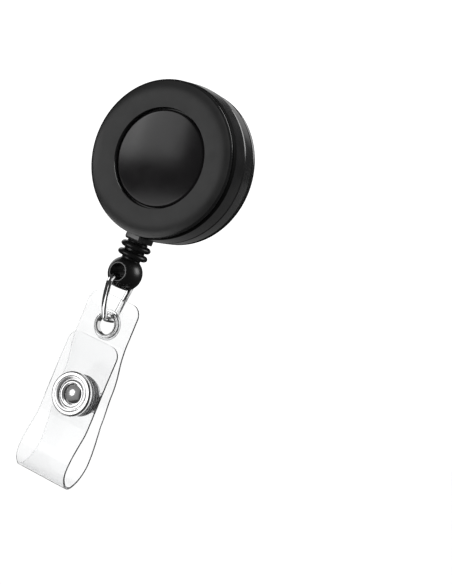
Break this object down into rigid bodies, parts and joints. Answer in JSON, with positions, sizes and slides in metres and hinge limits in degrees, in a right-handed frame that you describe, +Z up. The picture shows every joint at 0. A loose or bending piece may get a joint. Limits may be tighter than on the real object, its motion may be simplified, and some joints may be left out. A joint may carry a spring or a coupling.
{
  "type": "retractable badge reel",
  "caption": "Round clip-on badge reel: a sprung spool in a disc case pulls a cord back, with a clear snap strap on a bead and wire ring.",
  "frame": {"origin": "middle of the back clip's jaw, on the swivel plate's face, where cloth is pinched", "axes": "+X to the wearer's left seen from in front (right in the front view), +Y to the back, along the case's disc axis, +Z up, with the strap hanging down along -Z"},
  "size_m": [0.033, 0.0168, 0.0858],
  "materials": {
    "case_plastic": "satin moulded",
    "label_gloss": "high gloss, slightly domed",
    "bead_plastic": "semi-gloss moulded",
    "spool_nylon": "natural nylon",
    "cord_nylon": "braided nylon",
    "chrome_trim": "bright plated",
    "clip_nickel": "nickel plated, satin",
    "spring_steel": "oiled spring steel",
    "clear_vinyl": "clear flexible vinyl"
  },
  "bodies": {
    "clip_base": {"swivel_plate": "case_plastic", "clip_rivet": "clip_nickel", "rivet_washer": "clip_nickel", "clip_pin": "clip_nickel", "clip_spring": "spring_steel"},
    "clip_arm": {"clip_lever": "clip_nickel"},
    "case": {"front_cover": "case_plastic", "rear_shell": "case_plastic", "label_disc": "label_gloss", "cord_guide": "case_plastic", "power_spring": "spring_steel"},
    "spool": {"spool": "spool_nylon", "cord_winding": "cord_nylon"},
    "cord_end": {"pull_cord": "cord_nylon", "cord_knot": "cord_nylon"},
    "bead": {"strap_bead": "bead_plastic"},
    "ring": {"wire_ring": "chrome_trim"},
    "strap": {"strap_back": "clear_vinyl", "eyelet": "chrome_trim", "eyelet_washer": "chrome_trim", "snap_stud": "chrome_trim", "snap_post": "chrome_trim"},
    "flap": {"strap_flap": "clear_vinyl", "snap_cap": "chrome_trim", "snap_socket": "chrome_trim"}
  },
  "joints": [
    {"name": "clip_press", "type": "hinge", "parent": "clip_base", "child": "clip_arm", "pos_m": [0, 0.00195, 0.01665], "axis": [1, 0, 0], "range_deg": [0, 20], "stiffness_Nm_per_rad": 0.08, "springref_deg": -17.19, "deforming": ["clip_spring"]},
    {"name": "clip_swivel", "type": "hinge", "parent": "clip_base", "child": "case", "pos_m": [0, -0.00565, 0.01015], "axis": [0, 1, 0], "continuous": true},
    {"name": "cord_pull", "type": "slide", "parent": "case", "child": "cord_end", "axis": [0, 0, -1], "range_m": [0, 0.6], "stiffness_N_per_m": 0.5, "springref_m": -1, "deforming": ["pull_cord"]},
    {"name": "spool_spin", "type": "hinge", "parent": "case", "child": "spool", "pos_m": [0, -0.00565, 0.01015], "axis": [0, -1, 0], "range_deg": [0, 2960]},
    {"name": "bead_spin", "type": "hinge", "parent": "cord_end", "child": "bead", "pos_m": [0, -0.00635, -0.0085], "axis": [0, 0, 1], "continuous": true},
    {"name": "ring_swing", "type": "hinge", "parent": "bead", "child": "ring", "pos_m": [0, -0.00565, -0.01528], "axis": [0, 1, 0], "range_deg": [-45, 45]},
    {"name": "strap_swing", "type": "hinge", "parent": "ring", "child": "strap", "pos_m": [0, -0.00565, -0.02412], "axis": [0, 1, 0], "range_deg": [-30, 30]},
    {"name": "flap_open", "type": "hinge", "parent": "strap", "child": "flap", "pos_m": [0, -0.00565, -0.0591], "axis": [1, 0, 0], "range_deg": [0, 100]}
  ],
  "couplings": [
    {"joint": "spool_spin", "follows": "cord_pull", "rad_per_m": 85.84}
  ]
}
